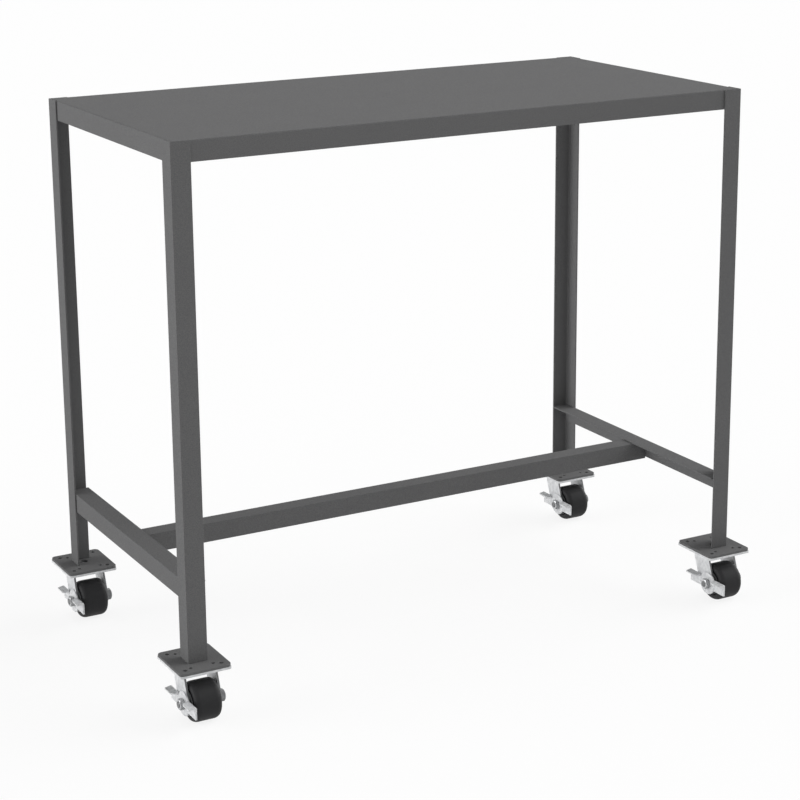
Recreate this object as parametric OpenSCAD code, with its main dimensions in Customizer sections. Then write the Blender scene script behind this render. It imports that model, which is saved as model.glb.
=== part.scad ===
// Mobile workbench: a sheet steel top on four angle iron legs, tied by three
// low stringers, rolling on four swivel casters with side brakes.
// Millimetres. +X runs along the bench, -Y is the front, +Z is up, and the
// origin is on the floor under the middle of everything the bench covers.

/* [Bench] */
// Length over the outsides of the legs
bench_len = 1219.2; // [900:1:1800]
// Depth over the outsides of the legs
bench_dep = 609.6; // [450:1:900]
// Height of the work surface above the floor
bench_h = 1066.8; // [760:1:1300]

/* [Top] */
// Thickness of the sheet steel top
deck_t = 2.7; // [1.5:0.1:5]
// Depth of the down-turned edges
skirt_h = 39; // [25:1:80]
// Outside radius of the top's four upright corners
deck_corner_r = 4; // [3.5:0.1:12]

/* [Legs and stringers] */
// Flange width of the leg angles
leg_w = 38.1; // [32:0.1:50]
// Thickness of the leg angles
leg_t = 3.2; // [2.5:0.1:5]
// Flange width of the stringer angles
bar_w = 38.1; // [25:0.1:50]
// Thickness of the stringer angles
bar_t = 3.2; // [2.5:0.1:5]
// Height of the end stringers' tops above the foot pads
bar_rise = 153.7; // [80:1:400]
// Root radius inside the angles
root_r = 3; // [1:0.1:3.4]
// Radius on the toes of the flanges
toe_r = 1.2; // [0.4:0.1:2]

/* [Foot pads and caster plates] */
// Width of a pad along the bench
pad_x = 101.6; // [96:0.1:130]
// Width of a pad across the bench
pad_y = 114.3; // [104:0.1:140]
// Thickness of a pad
pad_t = 4.8; // [3:0.1:10]
// Corner radius of the pads and plates
pad_r = 9.5; // [4:0.5:12]
// Spacing of the outer holes along the bench
outer_hole_x = 71.4; // [66:0.1:80]
// Spacing of the outer holes across the bench
outer_hole_y = 84.1; // [80:0.1:90]
// Diameter of the outer holes
outer_hole_d = 8.7; // [7:0.1:11]
// Spacing of the inner holes along the bench
inner_hole_x = 44.4; // [38:0.1:50]
// Spacing of the inner holes across the bench
inner_hole_y = 73; // [70:0.1:76]
// Diameter of the inner holes
inner_hole_d = 6.8; // [5:0.1:8]
// Diameter of the pad's centre hole
eye_d = 16; // [12:0.5:20]
// Thickness of a caster's top plate
plate_t = 4.5; // [3.5:0.1:8]

/* [Wheels] */
// Diameter of a wheel
wheel_d = 76.2; // [64:0.1:100]
// Width of a wheel's tread
wheel_w = 53; // [40:0.5:60]
// Radius of the tread's shoulders
shoulder_r = 8; // [3:0.5:12]
// Radius of the hub
hub_r = 17; // [14:0.5:20]
// Depth of the dish in each side of a wheel
dish_h = 5; // [2:0.5:8]
// Width of the flat rim between the dish and the shoulder
rim_w = 3; // [2:0.5:5]

/* [Fork and swivel] */
// Distance from the swivel axis forward to the axle
trail = 30; // [20:1:45]
// Sheet thickness of the fork
fork_t = 4; // [3:0.1:6]
// Outside radius of the bends at the fork's shoulders
bend_r = 8; // [6.5:0.5:10]
// Reach of the fork's shoulder in front of the swivel axis
crown_front = 28.5; // [24:0.5:34]
// Reach of the fork's shoulder behind the swivel axis
crown_back = 20; // [14:0.5:28]
// Radius of the fork's round crown
crown_r = 31; // [29:0.5:36]
// Room between the wheel and the underside of the crown
crown_gap = 11.7; // [10.5:0.1:20]
// Radius of the fork legs' round lower ends
fork_end_r = 16.5; // [13:0.5:20]
// Height above the axle where the legs' rear edges turn in to the round ends
fork_turn_h = 13; // [8:0.5:20]
// Diameter of the swivel balls
ball_d = 6; // [4:0.1:7]
// Radius of the ring of balls
ball_ring_r = 22; // [21:0.1:24]
// Number of balls in a ring
balls = 18; // [8:1:20]
// Gap between the two ball races
race_gap = 2.6; // [1.5:0.1:3.5]
// Depth of the upper race under the plate
race_h = 3.4; // [3:0.1:6]
// Width of the upper race
race_w = 12; // [10:0.5:13]
// Diameter of the kingpin
king_d = 12.7; // [10:0.1:14]
// Diameter of the kingpin's countersunk head
king_head_d = 19; // [17:0.1:22]
// Depth of the kingpin's head
king_head_h = 3; // [2:0.1:3.4]
// Width across the flats of the kingpin nut
king_nut_af = 19; // [17:0.1:22]
// Height of the kingpin nut
king_nut_h = 7; // [5:0.1:8]

/* [Axle] */
// Diameter of the axle bolt
axle_d = 12.7; // [10:0.1:14]
// Outside diameter of the sleeve that the wheel turns on
sleeve_d = 19; // [17:0.1:22]
// Diameter of the flange under the bolt's head
flange_d = 26; // [22:0.5:30]
// Thickness of that flange
flange_t = 2; // [1:0.1:4]
// Width across the flats of the bolt's head
head_af = 20.6; // [17:0.1:24]
// Height of the bolt's head
head_h = 9; // [6:0.1:12]
// Width across the flats of the axle nut
nut_af = 19; // [17:0.1:24]
// Height of the axle nut
nut_h = 9; // [6:0.1:12]
// Length of thread past the nut
thread_end = 1.5; // [0.5:0.1:4]

/* [Brake] */
// Sheet thickness of the brake lever
lever_t = 3.2; // [2:0.1:4]
// Radius of the lever's disc about the axle
lever_disc_r = 23.5; // [20:0.5:27]
// Reach of the lever each way from the axle
lever_reach = 56; // [48:0.5:70]
// Height of the lever's upright blade
blade_h = 25.5; // [20:0.5:28]
// Top of the blade above the axle
blade_top = 14.6; // [12:0.1:17]
// Reach of the pedals out from the fork
pedal_w = 13.4; // [8:0.1:13.6]
// Distance from the axle to the start of each pedal
pedal_start = 24; // [20:0.5:30]
// Radius of each pedal's outer corner beside the disc
pedal_r = 6.5; // [2:0.5:7]
// Radius of each pedal's outer corner at its far end
pedal_tip_r = 1.5; // [0.5:0.5:6]
// Radius of the relief notch beside each pedal
notch_r = 1.8; // [1:0.1:2.5]
// Thickness of the friction disc inside the fork
pad_disc_t = 2.2; // [1.5:0.1:2.6]
// Radius of the friction disc inside the fork
pad_disc_r = 25; // [20:0.5:27]

/* [Fits] */
// Radial running clearance of round parts that turn
fit = 0.05; // [0.02:0.01:0.1]
// Clearance between flat faces that slide past each other
slip = 0.3; // [0.2:0.05:0.5]
// Clearance of the balls in their races
ball_fit = 0.2; // [0.1:0.05:0.3]
// Room between the wheel's hub and what is beside it
hub_gap = 0.3; // [0.2:0.05:0.6]
// Room between the tread and the friction disc
tread_gap = 0.6; // [0.4:0.1:2]

/* [Hidden] */
CORNERS = [
    ["front_left", -1, -1],
    ["front_right", 1, -1],
    ["back_left", -1, 1],
    ["back_right", 1, 1]
];
CASTER_PIECES = [
    "caster_plate", "kingpin", "kingpin_nut", "swivel_balls", "fork", "axle_bolt",
    "axle_nut", "axle_sleeve", "friction_disc", "wheel", "brake_lever"
];
FRAME_PIECES = ["deck_pan", "end_stringer_left", "end_stringer_right", "centre_stringer"];

$fn = 64;
PAINT = [0.36, 0.36, 0.37];
ZINC = [0.78, 0.79, 0.80];
BLACK = [0.10, 0.10, 0.11];
// Small overlap that fuses two shapes of one piece
weld = 0.5;
// How far a cut runs past the faces that it opens
past = 1;
// How far a straight edge runs into the round end that it meets
edge_in = 0.1;

// Heights, from the floor up
axle_z = wheel_d / 2;
crown_z = wheel_d + crown_gap;
crown_top = crown_z + fork_t;
race_z = crown_top + race_gap;
plate_z = race_z + race_h;
pad_z = plate_z + plate_t;
leg_z = pad_z + pad_t;
bar_top = leg_z + bar_rise;
centre_bar_top = bar_top - bar_t;
ball_z = crown_top + race_gap / 2;

// Places along X of what is on the axle, from the swivel axis outwards
hub_half = wheel_w / 2;
fork_in = hub_half + tread_gap + pad_disc_t;
fork_out = fork_in + fork_t;
lever_in = fork_out + slip;
lever_out = lever_in + lever_t;
nut_in = lever_out + slip;

// Where the swivel axes stand: over the middle of each leg's square
swivel_x = bench_len / 2 - leg_w / 2;
swivel_y = bench_dep / 2 - leg_w / 2;
// The brake levers reach furthest forward and the rear pads furthest back,
// so the bench stands this much behind the origin to centre the whole
lever_front = swivel_y + trail + lever_reach;
pad_back = swivel_y + pad_y / 2;
bench_y = (lever_front - pad_back) / 2;

// Half width of the flat of the fork's crown, between its rounded shoulders
crown_flat = fork_out - bend_r;

// Touching point of a tangent from p to the circle at c of radius r, where
// side is -1 for the front tangent and 1 for the rear one
function tangent_point(p, c, r, side) =
    let(d = c - p, a = atan2(d[1], d[0]) + side * asin(r / norm(d)), len = sqrt(d * d - r * r))
    p + len * [cos(a), sin(a)];

module rounded_rect(x, y, r) {
    square([x - 2 * r, y], center = true);
    square([x, y - 2 * r], center = true);
    for (i = [-1, 1], j = [-1, 1])
        translate([i * (x / 2 - r), j * (y / 2 - r)]) circle(r = r);
}

module flange_2d(w, t) {
    square([w - toe_r, t]);
    square([w, t - toe_r]);
    translate([w - toe_r, t - toe_r]) circle(r = toe_r);
}

// Hole of diameter d from z = 0 to h
module bore(d, h) {
    translate([0, 0, -past]) cylinder(d = d, h = h + 2 * past);
}

// Rolled angle, its heel at the origin and its flanges along +X and +Y
module angle_2d(w, t) {
    flange_2d(w, t);
    mirror([1, -1]) flange_2d(w, t);
    difference() {
        translate([t - weld, t - weld]) square(root_r + weld);
        translate([t + root_r, t + root_r]) circle(r = root_r);
    }
}

// Frame pieces, drawn about the middle of the bench
module on_bench() {
    translate([0, bench_y, 0]) children();
}

module deck_pan() {
    pan_x = bench_len - 2 * leg_t;
    pan_y = bench_dep - 2 * leg_t;
    color(PAINT) on_bench() translate([0, 0, bench_h - skirt_h]) difference() {
        linear_extrude(skirt_h) rounded_rect(pan_x, pan_y, deck_corner_r);
        translate([0, 0, -past]) linear_extrude(skirt_h - deck_t + past)
            rounded_rect(pan_x - 2 * deck_t, pan_y - 2 * deck_t, deck_corner_r - deck_t);
    }
}

module leg(sx, sy) {
    color(PAINT) on_bench() mirror([sx > 0 ? 1 : 0, 0, 0]) mirror([0, sy > 0 ? 1 : 0, 0])
        translate([-bench_len / 2, -bench_dep / 2, leg_z])
            linear_extrude(bench_h - leg_z) angle_2d(leg_w, leg_t);
}

// The end stringers lie inside the legs, upright flange outside, top flange inwards
module end_stringer(sx) {
    bar_len = bench_dep - 2 * (leg_t + root_r);
    color(PAINT) on_bench() mirror([sx > 0 ? 1 : 0, 0, 0])
        translate([leg_t - bench_len / 2, bar_len / 2, bar_top]) rotate([90, 0, 0])
            linear_extrude(bar_len) mirror([0, 1]) angle_2d(bar_w, bar_t);
}

// The centre stringer butts the end stringers under their top flanges, its upper
// corners cut off to clear their root fillets
module centre_stringer() {
    half_len = bench_len / 2 - leg_t - bar_t;
    cut = root_r * sqrt(2);
    color(PAINT) on_bench() difference() {
        translate([-half_len, -bar_w / 2, centre_bar_top]) rotate([90, 0, 90])
            linear_extrude(2 * half_len) mirror([0, 1]) angle_2d(bar_w, bar_t);
        for (s = [-1, 1]) translate([s * half_len, 0, centre_bar_top]) rotate([0, 45, 0])
            cube([cut, bar_w + 2 * past, cut], center = true);
    }
}

module at_corner(sx, sy) {
    translate([sx * swivel_x, sy * swivel_y + bench_y, 0]) children();
}

module mounting_plate_2d(hole_d) {
    difference() {
        rounded_rect(pad_x, pad_y, pad_r);
        for (i = [-1, 1], j = [-1, 1]) {
            translate([i * outer_hole_x / 2, j * outer_hole_y / 2]) circle(d = outer_hole_d);
            translate([i * inner_hole_x / 2, j * inner_hole_y / 2]) circle(d = inner_hole_d);
        }
        circle(d = hole_d);
    }
}

module foot_pad(sx, sy) {
    color(PAINT) at_corner(sx, sy) translate([0, 0, pad_z])
        linear_extrude(pad_t) mounting_plate_2d(eye_d);
}

module race_groove() {
    rotate_extrude() translate([ball_ring_r, ball_z]) circle(d = ball_d + 2 * ball_fit);
}

// Round shank with a countersunk head whose top is at z = 0
module countersunk(shank_d, head_d, head_h, len) {
    translate([0, 0, -head_h]) cylinder(d1 = shank_d, d2 = head_d, h = head_h);
    translate([0, 0, -len]) cylinder(d = shank_d, h = len);
}

// Hexagon with both faces chamfered round at 30 degrees, from z = 0 up
module hex_body(af, h) {
    corner_r = af / 2 / cos(30);
    cone_r = corner_r + weld;
    cone_h = (cone_r - af / 2) * tan(30);
    intersection() {
        cylinder(r = corner_r, h = h, $fn = 6);
        rotate_extrude() polygon([
            [0, 0], [af / 2, 0], [cone_r, cone_h], [cone_r, h - cone_h], [af / 2, h], [0, h]
        ]);
    }
}

module caster_plate() {
    color(ZINC) difference() {
        union() {
            translate([0, 0, plate_z]) linear_extrude(plate_t) mounting_plate_2d(king_d + 2 * fit);
            translate([0, 0, race_z]) difference() {
                cylinder(r = ball_ring_r + race_w / 2, h = race_h + weld);
                bore(2 * ball_ring_r - race_w, race_h + weld);
            }
        }
        race_groove();
        translate([0, 0, pad_z]) countersunk(
            king_d + 2 * fit, king_head_d + 2 * fit, king_head_h + fit, plate_t + race_h);
    }
}

module kingpin() {
    pin_len = pad_z - crown_z + slip + king_nut_h + thread_end;
    color(ZINC) translate([0, 0, pad_z]) countersunk(king_d, king_head_d, king_head_h, pin_len);
}

module kingpin_nut() {
    color(ZINC) translate([0, 0, crown_z - slip - king_nut_h]) difference() {
        hex_body(king_nut_af, king_nut_h);
        bore(king_d + 2 * fit, king_nut_h);
    }
}

module swivel_balls() {
    color(ZINC) for (i = [0 : balls - 1])
        rotate(i * 360 / balls) translate([ball_ring_r, 0, ball_z]) sphere(d = ball_d);
}

// Side of the fork: a sloping leg from the shoulder down to a round end
module fork_side_2d() {
    axle = [-trail, axle_z];
    front_from = [-crown_front, crown_z];
    front_to = tangent_point(front_from, axle, fork_end_r - edge_in, -1);
    slope = (front_to - front_from) / (front_to[1] - front_from[1]);
    rear_from = [crown_back, crown_z - fork_t];
    rear_turn = rear_from - (rear_from[1] - axle_z - fork_turn_h) * slope;
    polygon([
        [crown_back, crown_top], [-crown_front, crown_top], front_from, front_to, axle,
        tangent_point(rear_turn, axle, fork_end_r - edge_in, 1), rear_turn, rear_from
    ]);
    translate(axle) circle(r = fork_end_r);
}

// Front view of the fork: an upturned U with rounded shoulders
module fork_front_2d() {
    inner_r = bend_r - fork_t;
    difference() {
        union() {
            translate([-fork_out, 0]) square([2 * fork_out, crown_top - bend_r]);
            translate([-crown_flat, crown_top - 2 * bend_r]) square([2 * crown_flat, 2 * bend_r]);
            for (s = [-1, 1]) translate([s * crown_flat, crown_top - bend_r]) circle(r = bend_r);
        }
        translate([-fork_in, -past]) square([2 * fork_in, crown_z - inner_r + past]);
        translate([-crown_flat, crown_z - 2 * inner_r]) square([2 * crown_flat, 2 * inner_r]);
        for (s = [-1, 1]) translate([s * crown_flat, crown_z - inner_r]) circle(r = inner_r);
    }
}

module fork() {
    reach = trail + fork_end_r + past;
    color(ZINC) difference() {
        union() {
            intersection() {
                translate([0, crown_r, 0]) rotate([90, 0, 0])
                    linear_extrude(crown_r + reach) fork_front_2d();
                translate([-fork_out - past, 0, 0]) rotate([90, 0, 90])
                    linear_extrude(2 * (fork_out + past)) fork_side_2d();
            }
            translate([0, 0, crown_z]) intersection() {
                cylinder(r = crown_r, h = fork_t);
                translate([weld - crown_flat, -crown_r, 0])
                    cube([2 * (crown_flat - weld), 2 * crown_r, fork_t]);
            }
        }
        race_groove();
        translate([0, 0, crown_z]) bore(king_d + 2 * fit, fork_t);
        along_axle(-fork_out) bore(axle_d + 2 * fit, 2 * fork_out);
    }
}

// Children drawn along +Z are laid along +X on the axle, starting at x
module along_axle(x) {
    translate([x, -trail, axle_z]) rotate([0, 90, 0]) children();
}

module axle_bolt() {
    tip = nut_in + nut_h + thread_end;
    color(ZINC) {
        along_axle(-tip) cylinder(d = axle_d, h = tip + fork_out + weld);
        along_axle(fork_out) cylinder(d = flange_d, h = flange_t);
        along_axle(fork_out + flange_t - weld) hex_body(head_af, head_h + weld);
    }
}

module axle_nut() {
    color(ZINC) along_axle(-nut_in - nut_h) difference() {
        hex_body(nut_af, nut_h);
        bore(axle_d + 2 * fit, nut_h);
    }
}

module axle_sleeve() {
    color(ZINC) along_axle(-fork_in) difference() {
        cylinder(d = sleeve_d, h = 2 * fork_in);
        bore(axle_d + 2 * fit, 2 * fork_in);
    }
}

module friction_disc() {
    color(ZINC) along_axle(-fork_in) difference() {
        cylinder(r = pad_disc_r, h = pad_disc_t);
        bore(sleeve_d + 2 * fit, pad_disc_t);
    }
}

// Half of a wheel's section: radius along X, width along Y. The hub reaches the
// fork on the right, and on the left the friction disc fills that room
module wheel_section() {
    bore_r = sleeve_d / 2 + fit;
    flat_r = wheel_d / 2 - shoulder_r;
    dish_w = flat_r - rim_w - hub_r;
    difference() {
        union() {
            translate([bore_r, -hub_half]) square([flat_r - bore_r, wheel_w]);
            translate([bore_r, shoulder_r - hub_half])
                square([wheel_d / 2 - bore_r, wheel_w - 2 * shoulder_r]);
            for (s = [-1, 1]) translate([flat_r, s * (hub_half - shoulder_r)]) circle(r = shoulder_r);
            translate([bore_r, 0]) square([hub_r - bore_r, fork_in - hub_gap]);
        }
        translate([hub_r, hub_half - dish_h]) square([dish_w, dish_h + past]);
        translate([hub_r, -hub_half - past]) square([dish_w, dish_h + past]);
    }
}

module wheel() {
    color(BLACK) along_axle(0) rotate_extrude() wheel_section();
}

// Plan of one pedal: X is outwards from the blade, Y runs away from the axle
module pedal_2d() {
    len = lever_reach - pedal_start;
    square([pedal_w - pedal_r, len]);
    translate([0, pedal_r]) {
        square([pedal_w - pedal_tip_r, len - pedal_r]);
        square([pedal_w, len - pedal_r - pedal_tip_r]);
    }
    translate([pedal_w - pedal_r, pedal_r]) circle(r = pedal_r);
    translate([pedal_w - pedal_tip_r, len - pedal_tip_r]) circle(r = pedal_tip_r);
}

// The blade stands outside the fork, and a pedal is bent out of each end of it
module brake_lever() {
    color(ZINC) translate([0, -trail, axle_z]) {
        translate([-lever_out, 0, 0]) rotate([90, 0, 90]) linear_extrude(lever_t) difference() {
            union() {
                circle(r = lever_disc_r);
                translate([-lever_reach, blade_top - blade_h]) square([2 * lever_reach, blade_h]);
            }
            circle(d = axle_d + 2 * fit);
            for (s = [-1, 1]) translate([s * (pedal_start - notch_r), blade_top])
                circle(r = notch_r);
        }
        for (s = [0, 1]) mirror([0, s, 0])
            translate([-lever_out, pedal_start, blade_top - lever_t]) mirror([1, 0, 0])
                linear_extrude(lever_t) {
                    pedal_2d();
                    translate([-weld, 0]) square([2 * weld, lever_reach - pedal_start]);
                }
    }
}

module caster_piece(piece) {
    if (piece == "caster_plate") caster_plate();
    if (piece == "kingpin") kingpin();
    if (piece == "kingpin_nut") kingpin_nut();
    if (piece == "swivel_balls") swivel_balls();
    if (piece == "fork") fork();
    if (piece == "axle_bolt") axle_bolt();
    if (piece == "axle_nut") axle_nut();
    if (piece == "axle_sleeve") axle_sleeve();
    if (piece == "friction_disc") friction_disc();
    if (piece == "wheel") wheel();
    if (piece == "brake_lever") brake_lever();
}

deck_pan();
end_stringer(-1);  // end_stringer_left
end_stringer(1);  // end_stringer_right
centre_stringer();
for (c = CORNERS) {
    leg(c[1], c[2]);
    foot_pad(c[1], c[2]);
    for (piece = CASTER_PIECES)
        at_corner(c[1], c[2]) caster_piece(piece);
}
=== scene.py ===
"""Looks of a mobile workbench: sheet steel top, angle iron frame, foot pads and four braked casters.

Every size and place is in millimetres where nothing else is said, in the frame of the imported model:
+X runs along the bench to the right, -Y is the front and +Z is up. A finished piece's place is in its
mesh, in metres.
"""

import logging
import math
from collections.abc import Callable, Sequence
from dataclasses import dataclass, field
from enum import Enum

import bmesh
import bpy
from bpy.types import Material, Node, NodeSocket, NodeTree, Object
from mathutils import Euler, Matrix, Quaternion, Vector


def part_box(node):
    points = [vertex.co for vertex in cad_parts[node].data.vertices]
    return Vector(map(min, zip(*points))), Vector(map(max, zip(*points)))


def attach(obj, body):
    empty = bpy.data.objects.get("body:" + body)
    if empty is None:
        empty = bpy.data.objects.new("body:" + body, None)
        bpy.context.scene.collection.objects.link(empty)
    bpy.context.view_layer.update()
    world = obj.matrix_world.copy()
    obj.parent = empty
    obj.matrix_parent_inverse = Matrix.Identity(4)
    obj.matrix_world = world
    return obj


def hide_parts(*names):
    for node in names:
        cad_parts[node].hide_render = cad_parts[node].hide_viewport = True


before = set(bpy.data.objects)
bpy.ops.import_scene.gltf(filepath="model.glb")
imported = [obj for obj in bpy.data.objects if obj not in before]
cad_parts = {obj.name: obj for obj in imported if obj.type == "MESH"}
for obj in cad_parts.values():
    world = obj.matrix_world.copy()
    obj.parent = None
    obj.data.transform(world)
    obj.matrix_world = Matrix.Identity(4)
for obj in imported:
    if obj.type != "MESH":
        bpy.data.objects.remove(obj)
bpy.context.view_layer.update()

log = logging.getLogger("workbench")

Point = tuple[float, float]
Pair = tuple[float, float]
# Says of an edge's two ends in millimetres, or of a face's centre in millimetres and its normal,
# whether it is chosen
Test = Callable[[Vector, Vector], bool]

WHITE = (1, 1, 1, 1)
# Metres in a millimetre
MM = 0.001
# Vertices closer than this many metres are one
WELD = 1e-6
# Places within this many millimetres of each other are level
LEVEL = 0.1
# How far a cutter, or a part that is fused, reaches past a face, in millimetres
PAST = 1.0
# Share of an axis in a face's normal: above FACING it looks along the axis, above TOWARDS it leans
# that way, and below EDGEWISE it stands along the axis
FACING = 0.9
TOWARDS = 0.5
EDGEWISE = 0.3
# Degrees that an edge turns by: above HARD_TURN it is softened, above SHARP_TURN it is shaded sharp
HARD_TURN = 35
SHARP_TURN = 60
# Straight steps in a full turn, and in the round of a corner
TURN_STEPS = 72
ROUND_STEPS = 8


class Plane(Enum):
    """The plane that an outline is drawn on, as the axes of its two directions and of its depth."""

    XY = (0, 1, 2)
    YZ = (1, 2, 0)
    XZ = (0, 2, 1)

    def point(self, across: float, up: float, depth: float) -> Vector:
        """Gives the point in metres for a place on the plane and a depth, in millimetres."""
        spot = dict(zip(self.value, (across, up, depth)))
        return Vector([spot[axis] * MM for axis in range(3)])


class Axis(Enum):
    """An axis of the model, as the turn in degrees about X, Y and Z that lays +Z on it."""

    X = (0, 90, 0)
    Z = (0, 0, 0)


class Join(Enum):
    """What a second solid does to the first."""

    CUT = "DIFFERENCE"
    FUSE = "UNION"
    KEEP_COMMON = "INTERSECT"


class Kind(Enum):
    """What is chosen in edit mode."""

    EDGES = "EDGE"
    FACES = "FACE"


class Corner(Enum):
    """A corner of the bench: its name, its side along X and its side along Y."""

    FRONT_LEFT = ("front_left", -1, -1)
    FRONT_RIGHT = ("front_right", 1, -1)
    BACK_LEFT = ("back_left", -1, 1)
    BACK_RIGHT = ("back_right", 1, 1)

    @property
    def label(self) -> str:
        """The corner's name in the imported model."""
        return self.value[0]

    @property
    def sides(self) -> tuple[int, int]:
        """-1 on the left and 1 on the right, then -1 at the front and 1 at the back."""
        return self.value[1:]


# Modelling


def use(obj: Object) -> None:
    """Leaves edit mode and makes one object the only selected and active one.

    Args:
        obj: The object to work on.
    """
    if bpy.context.object is not None and bpy.context.object.mode != "OBJECT":
        bpy.ops.object.mode_set(mode="OBJECT")
    nothing_selected()
    obj.select_set(True)
    bpy.context.view_layer.objects.active = obj


def start(name: str) -> Object:
    """Names the primitive that was just added and puts its place into its mesh.

    Args:
        name: The name for it and its mesh.

    Returns:
        The new object.
    """
    obj = bpy.context.object
    obj.name = obj.data.name = name
    bpy.ops.object.transform_apply(location=True, rotation=True, scale=True)
    return obj


def nothing_selected() -> None:
    """Deselects every object, so that the next primitive is alone."""
    bpy.ops.object.select_all(action="DESELECT")


def block(name: str, low: Sequence[float], high: Sequence[float]) -> Object:
    """Adds a block between two corners.

    Args:
        name: The object's name.
        low: Its lowest corner.
        high: Its highest corner.

    Returns:
        The new object.
    """
    nothing_selected()
    low_m, high_m = Vector(low) * MM, Vector(high) * MM
    middle, size = (low_m + high_m) / 2, high_m - low_m
    bpy.ops.mesh.primitive_cube_add(size=1, location=middle, scale=size)
    return start(name)


def round_bar(
    name: str,
    centre: Sequence[float],
    radius: float,
    length: float,
    axis: Axis = Axis.Z,
    sides: int = 64,
) -> Object:
    """Adds a bar of round or many-sided section.

    Args:
        name: The object's name.
        centre: Its middle.
        radius: Radius to its corners.
        length: Its length.
        axis: The axis that it lies along.
        sides: The number of its sides.

    Returns:
        The new object.
    """
    nothing_selected()
    bpy.ops.mesh.primitive_cylinder_add(
        vertices=sides,
        radius=radius * MM,
        depth=length * MM,
        location=Vector(centre) * MM,
        rotation=[math.radians(turn) for turn in axis.value],
    )
    return start(name)


def arc(centre: Point, radius: float, first: float, last: float, steps: int) -> list[Point]:
    """Gives the points of an arc.

    Args:
        centre: The arc's centre.
        radius: Its radius.
        first: The angle in degrees where it starts.
        last: The angle in degrees where it ends.
        steps: The number of straight steps that stand for it.

    Returns:
        The points from the first angle to the last.
    """
    x, y = centre
    turns = [math.radians(first + (last - first) * i / steps) for i in range(steps + 1)]
    return [(x + radius * math.cos(t), y + radius * math.sin(t)) for t in turns]


def pull(step: Sequence[float]) -> None:
    """Extrudes what is selected by a step in metres."""
    bpy.ops.mesh.extrude_region_move(TRANSFORM_OT_translate={"value": step})


def draw_line(name: str, points: Sequence[Point], plane: Plane, depth: float) -> Object:
    """Draws a closed line corner by corner and stays in edit mode with it selected.

    Args:
        name: The object's name.
        points: The line's corners on the plane.
        plane: The plane that it is drawn on.
        depth: The plane's place along its depth axis.

    Returns:
        The new object.
    """
    nothing_selected()
    bpy.ops.mesh.primitive_plane_add(size=MM)
    obj = start(name)
    places = [plane.point(*point, depth) for point in points]
    bpy.ops.object.mode_set(mode="EDIT")
    bpy.ops.mesh.select_mode(type="VERT")
    bpy.ops.mesh.merge(type="CENTER")
    bpy.ops.transform.translate(value=places[0])
    for here, there in zip(places, places[1:] + places[:1]):
        pull(there - here)
    bpy.ops.mesh.select_all(action="SELECT")
    bpy.ops.mesh.remove_doubles(threshold=WELD)
    return obj


def cut_out(
    name: str, points: Sequence[Point], plane: Plane, depth: float, thickness: float
) -> Object:
    """Draws an outline, fills it and extrudes it to a thickness.

    Args:
        name: The object's name.
        points: The outline's corners on the plane.
        plane: The plane that it is drawn on.
        depth: The outline's place along its depth axis.
        thickness: How far it is extruded along the depth axis.

    Returns:
        The new solid.
    """
    obj = draw_line(name, points, plane, depth)
    bpy.ops.mesh.edge_face_add()
    pull(plane.point(0, 0, thickness))
    return close_up(obj)


def lathe(
    name: str, section: Sequence[Point], axis: Axis, centre: Sequence[float] = (0, 0, 0)
) -> Object:
    """Spins a closed half section about an axis.

    Args:
        name: The object's name.
        section: Corners as distance along the axis and radius.
        axis: The axis that it is spun about.
        centre: A point on the axis, from which the distances count.

    Returns:
        The new solid.
    """
    plane, direction = Plane.XZ, (1, 0, 0)
    if axis is Axis.Z:
        plane, direction = Plane.YZ, (0, 0, 1)
        section = [(radius, along) for along, radius in section]
    obj = draw_line(name, section, plane, 0)
    bpy.ops.mesh.spin(steps=TURN_STEPS, angle=math.tau, center=(0, 0, 0), axis=direction)
    close_up(obj)
    obj.data.transform(Matrix.Translation(Vector(centre) * MM))
    return obj


def close_up(obj: Object) -> Object:
    """Merges what lies together, turns all faces outwards and leaves edit mode.

    Args:
        obj: The object to close.

    Returns:
        The same object.
    """
    if obj.mode != "EDIT":
        use(obj)
        bpy.ops.object.mode_set(mode="EDIT")
    bpy.ops.mesh.select_all(action="SELECT")
    bpy.ops.mesh.remove_doubles(threshold=WELD)
    bpy.ops.mesh.dissolve_degenerate(threshold=WELD)
    bpy.ops.mesh.delete_loose()
    bpy.ops.mesh.select_all(action="SELECT")
    bpy.ops.mesh.normals_make_consistent(inside=False)
    bpy.ops.object.mode_set(mode="OBJECT")
    return obj


def work(obj: Object, other: Object, how: Join = Join.CUT) -> Object:
    """Cuts, fuses or trims one solid with another, which is used up.

    Args:
        obj: The solid that stays.
        other: The solid that is used up.
        how: What the second does to the first.

    Returns:
        The first solid.
    """
    use(obj)
    boolean = obj.modifiers.new("work", "BOOLEAN")
    boolean.operation = how.value
    boolean.solver = "EXACT"
    boolean.object = other
    bpy.ops.object.modifier_apply(modifier=boolean.name)
    bpy.data.objects.remove(other)
    return close_up(obj)


def gather(parts: Sequence[Object]) -> Object:
    """Joins separate solids into one object.

    Args:
        parts: The solids, of which the first takes in the others.

    Returns:
        The first one.
    """
    use(parts[0])
    for part in parts:
        part.select_set(True)
    bpy.ops.object.join()
    return parts[0]


def upright(a: Vector, b: Vector) -> bool:
    """Says whether an edge between two points in millimetres climbs by more than a millimetre."""
    return abs(a.z - b.z) > 1


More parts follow.
